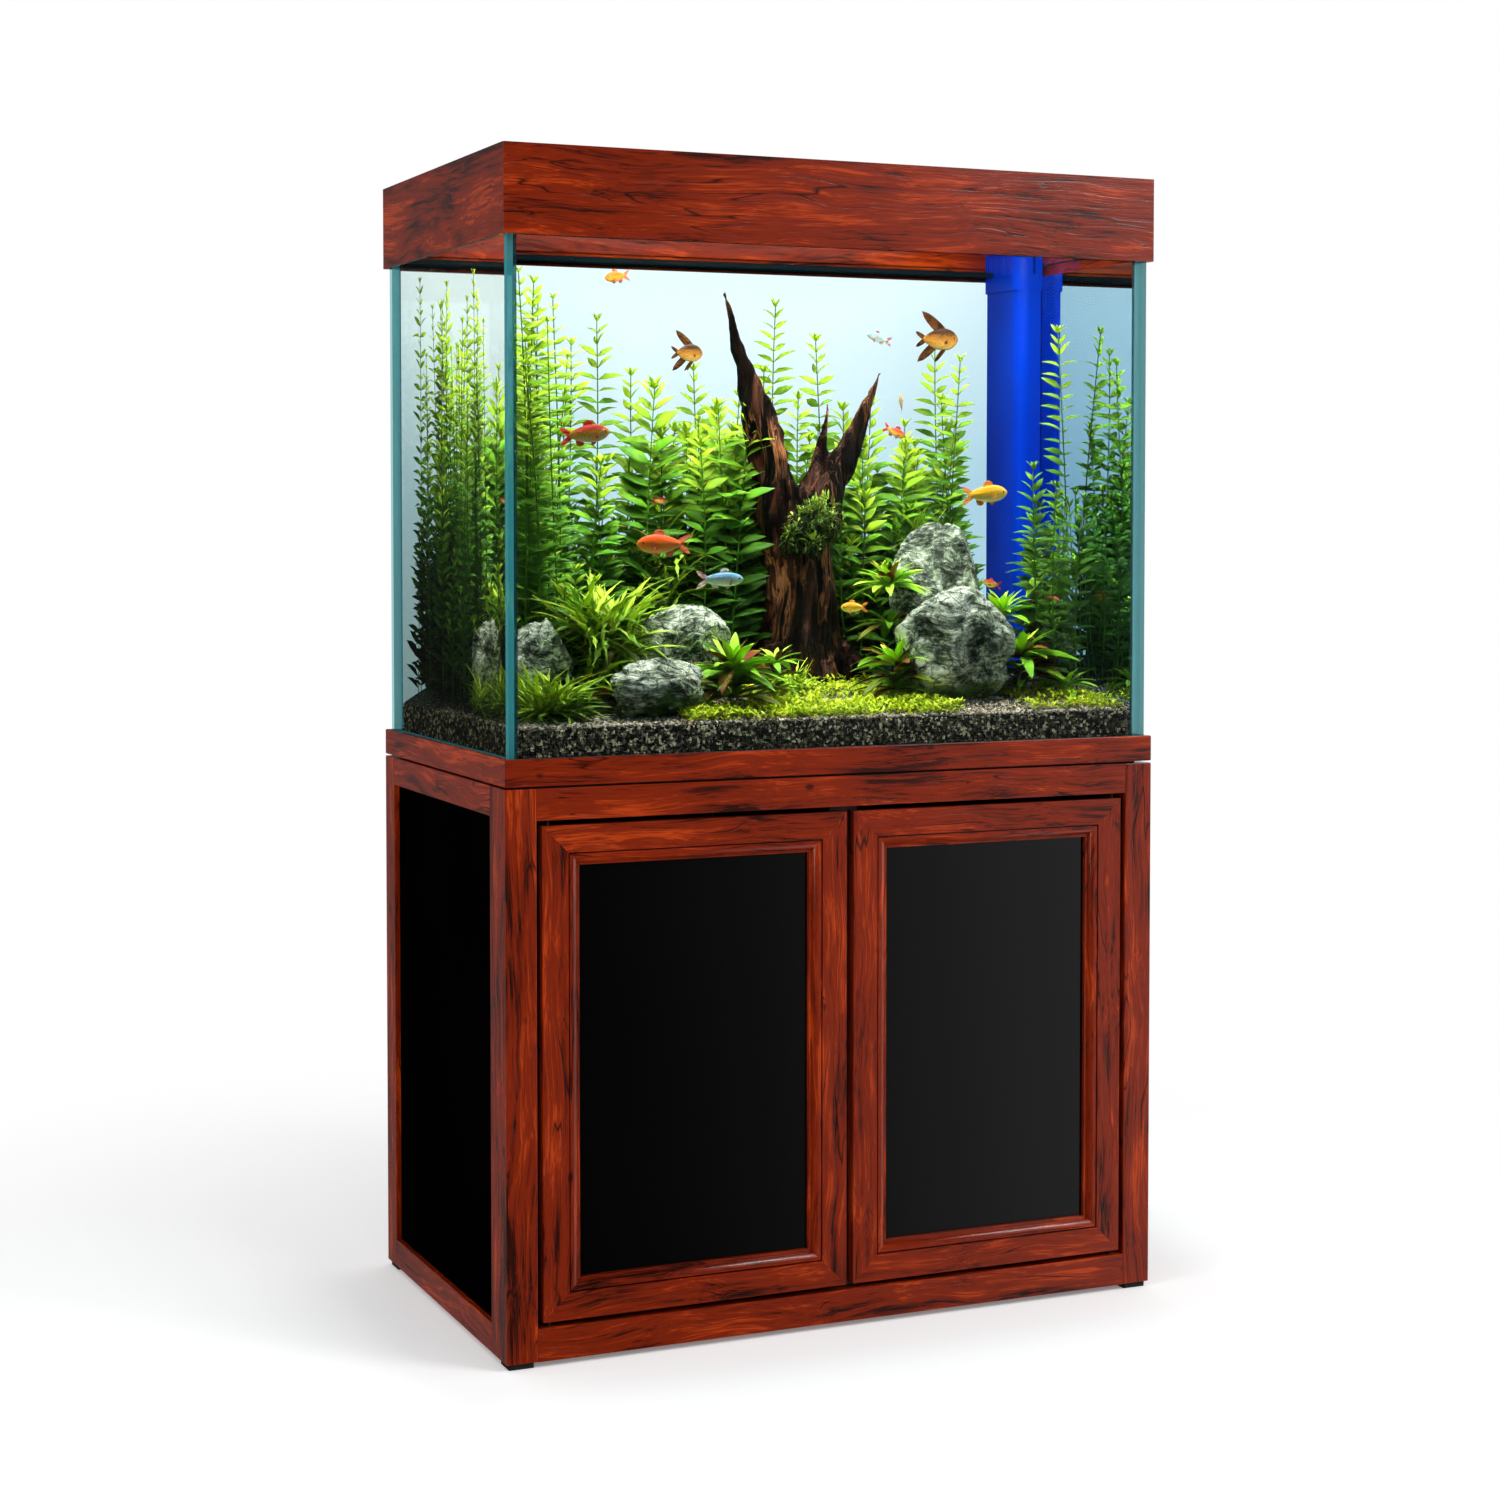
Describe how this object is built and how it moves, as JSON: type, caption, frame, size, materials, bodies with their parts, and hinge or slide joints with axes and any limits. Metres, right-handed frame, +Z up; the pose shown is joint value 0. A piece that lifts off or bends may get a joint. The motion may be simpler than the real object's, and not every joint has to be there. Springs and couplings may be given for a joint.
{
  "type": "aquarium on stand",
  "caption": "Free-standing aquarium with a rectangular glass tank, corner overflow tower and planted aquascape, on a framed wooden cabinet with panelled doors, under a lift-off wooden hood.",
  "frame": {"origin": "on the floor, under the middle of the stand", "axes": "+Z up, the front with the doors faces -Y, +X to the right seen from the front"},
  "size_m": [1, 0.57, 1.635],
  "materials": {
    "redwood": "satin lacquer",
    "dark_board": "painted board",
    "black_gloss": "gloss",
    "black_rubber": "matte",
    "tank_glass": "clear, teal edges",
    "silicone": "satin",
    "sky_film": "matte",
    "blue_acrylic": "gloss",
    "grey_pipe": "satin",
    "red_handle": "satin",
    "filter_foam": "open foam",
    "pump_black": "satin",
    "pin_steel": "brushed",
    "plunger_white": "matte",
    "light_aluminium": "anodised",
    "light_opal": "opal",
    "gravel": "rough",
    "boulder_stone": "rough",
    "driftwood_bark": "rough",
    "leaf_green": "satin"
  },
  "bodies": {
    "stand": {"foot_pads": "black_rubber", "front_posts": "redwood", "rear_posts": "redwood", "top_rails_long": "redwood", "top_rails_side": "redwood", "bottom_rails_long": "redwood", "bottom_rails_side": "redwood", "side_panels": "black_gloss", "back_panel": "black_gloss", "cabinet_floor": "dark_board", "centre_post": "dark_board", "top_board": "dark_board", "plinth_trims_long": "redwood", "plinth_trims_side": "redwood", "tank_mat": "black_rubber", "front_glass": "tank_glass", "rear_glass": "tank_glass", "left_glass": "tank_glass", "right_glass": "tank_glass", "bottom_glass": "tank_glass", "silicone_seams": "silicone", "rim_braces": "tank_glass", "backdrop_film": "sky_film", "overflow_tower": "blue_acrylic", "overflow_sleeve": "blue_acrylic", "drain_standpipe": "grey_pipe", "return_riser": "grey_pipe", "bulkheads": "grey_pipe", "drain_pipes": "grey_pipe", "supply_pipe": "grey_pipe", "valve_body": "grey_pipe", "sump_tank": "tank_glass", "sump_baffles": "tank_glass", "filter_sponges": "filter_foam", "return_pump": "pump_black", "latch_bodies": "pump_black", "gravel_bed": "gravel", "rocks": "boulder_stone", "driftwood": "driftwood_bark", "plants": "leaf_green"},
    "left_door": {"left_door_stiles": "redwood", "left_door_rails": "redwood", "left_door_panel": "black_gloss", "left_door_pins": "pin_steel"},
    "right_door": {"right_door_stiles": "redwood", "right_door_rails": "redwood", "right_door_panel": "black_gloss", "right_door_pins": "pin_steel"},
    "left_latch": {"left_latch_plunger": "plunger_white"},
    "right_latch": {"right_latch_plunger": "plunger_white"},
    "nozzle": {"return_nozzle": "grey_pipe"},
    "lever": {"valve_lever": "red_handle"},
    "hood": {"hood_boards_long": "redwood", "hood_boards_side": "redwood", "hood_top_board": "redwood", "lid_hinges": "pin_steel", "light_housing": "light_aluminium", "light_diffuser": "light_opal"},
    "lid": {"feeding_lid": "redwood", "lid_leaves": "pin_steel"}
  },
  "joints": [
    {"name": "left_door_hinge", "type": "hinge", "parent": "stand", "child": "left_door", "pos_m": [-0.438, -0.275, 0.4], "axis": [0, 0, -1], "range_deg": [0, 110]},
    {"name": "right_door_hinge", "type": "hinge", "parent": "stand", "child": "right_door", "pos_m": [0.438, -0.275, 0.4], "axis": [0, 0, 1], "range_deg": [0, 110]},
    {"name": "left_latch_push", "type": "slide", "parent": "stand", "child": "left_latch", "axis": [0, 1, 0], "range_m": [0, 0.003], "stiffness_N_per_m": 200},
    {"name": "right_latch_push", "type": "slide", "parent": "stand", "child": "right_latch", "axis": [0, 1, 0], "range_m": [0, 0.003], "stiffness_N_per_m": 200},
    {"name": "return_nozzle_swivel", "type": "hinge", "parent": "stand", "child": "nozzle", "pos_m": [0.4075, 0.153, 1.582], "axis": [1, 0, 0], "range_deg": [-45, 45]},
    {"name": "drain_valve_turn", "type": "hinge", "parent": "stand", "child": "lever", "pos_m": [0.4615, 0.176, 0.62], "axis": [0, 1, 0], "range_deg": [0, 90]},
    {"name": "hood_lift", "type": "slide", "parent": "stand", "child": "hood", "axis": [0, 0, 1], "range_m": [0, 0.12]},
    {"name": "lid_hinge", "type": "hinge", "parent": "hood", "child": "lid", "pos_m": [0, -0.0295, 1.631], "axis": [-1, 0, 0], "range_deg": [0, 100]}
  ]
}
